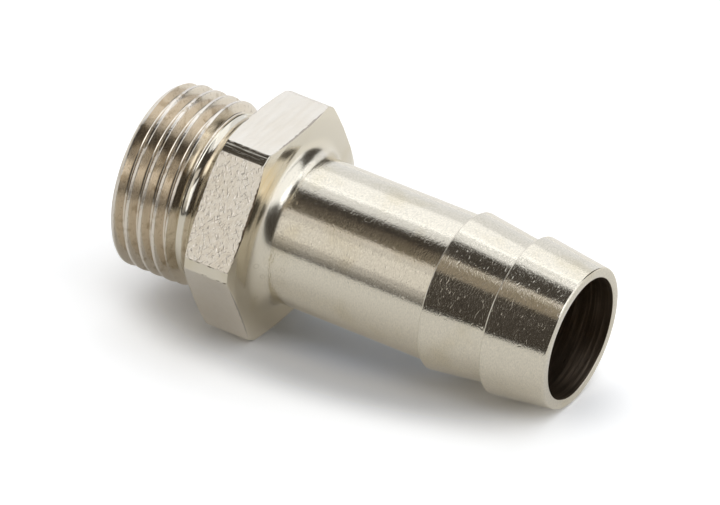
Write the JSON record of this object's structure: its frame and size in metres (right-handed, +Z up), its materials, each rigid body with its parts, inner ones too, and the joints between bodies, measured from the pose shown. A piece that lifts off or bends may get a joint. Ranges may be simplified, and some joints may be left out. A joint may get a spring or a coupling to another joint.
{
  "type": "threaded hose nipple",
  "caption": "Turned pipe fitting with a male pipe thread, a hexagon for a spanner and a barbed hose tail, bored straight through.",
  "frame": {"origin": "on the ground under the middle of the lying part's box", "axes": "+X along the part, from the thread to the hose tail; +Z up. The bore slopes down by about 6 degrees towards the tail, as the part comes to rest on the hexagon's edge and a barb"},
  "size_m": [0.0432, 0.0212, 0.0193],
  "materials": {
    "nickel": "bright nickel plating on turned brass"
  },
  "bodies": {
    "root": {"hose_nipple": "nickel"}
  },
  "joints": []
}
